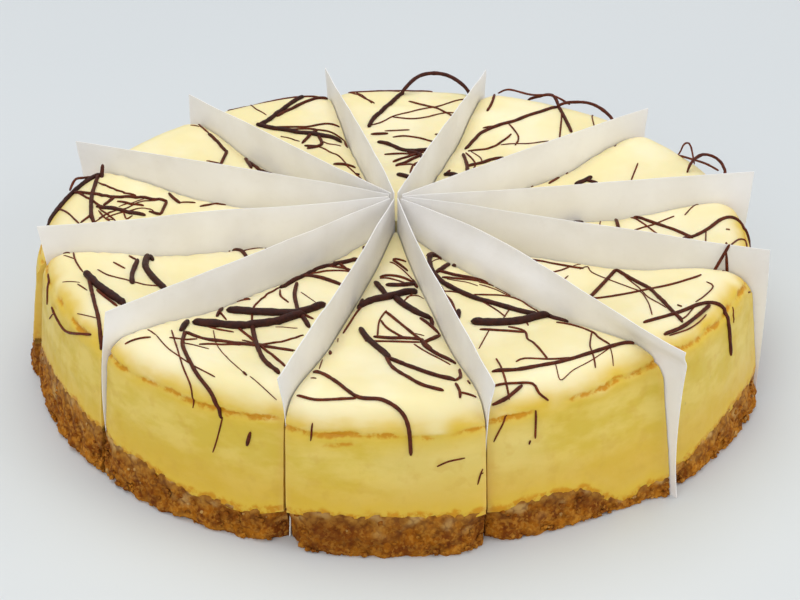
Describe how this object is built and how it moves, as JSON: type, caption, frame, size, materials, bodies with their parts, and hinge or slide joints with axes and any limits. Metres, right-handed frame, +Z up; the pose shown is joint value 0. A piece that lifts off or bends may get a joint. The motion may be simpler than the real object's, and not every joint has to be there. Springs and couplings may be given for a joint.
{
  "type": "sliced cheesecake",
  "caption": "Round baked cheesecake on a biscuit crust, cut in wedges that keep the round's shape, with paper dividers in the cuts and a dark sauce drizzled over the top.",
  "frame": {"origin": "on the cake's axis at the height it stands on, which is the bottom centre of its box to within about 1 mm", "axes": "+Z up; the side that the picture shows faces -Y"},
  "size_m": [0.242, 0.2411, 0.0549],
  "materials": {
    "cream": "baked cream filling, pale on top and golden at the side",
    "drizzle": "dark sauce, softly shining",
    "biscuit": "crumbly baked biscuit",
    "paper": "thin translucent waxed paper"
  },
  "bodies": {
    "root": {"filling_01": "cream", "filling_02": "cream", "filling_03": "cream", "filling_04": "cream", "filling_05": "cream", "filling_06": "cream", "filling_07": "cream", "filling_08": "cream", "filling_09": "cream", "filling_10": "cream", "filling_11": "cream", "filling_12": "cream", "crust_01": "biscuit", "crust_02": "biscuit", "crust_03": "biscuit", "crust_04": "biscuit", "crust_05": "biscuit", "crust_06": "biscuit", "crust_07": "biscuit", "crust_08": "biscuit", "crust_09": "biscuit", "crust_10": "biscuit", "crust_11": "biscuit", "crust_12": "biscuit", "paper_01": "paper", "paper_02": "paper", "paper_03": "paper", "paper_04": "paper", "paper_05": "paper", "paper_06": "paper", "paper_07": "paper", "paper_08": "paper", "paper_09": "paper", "paper_10": "paper", "paper_11": "paper", "paper_12": "paper"}
  },
  "joints": []
}
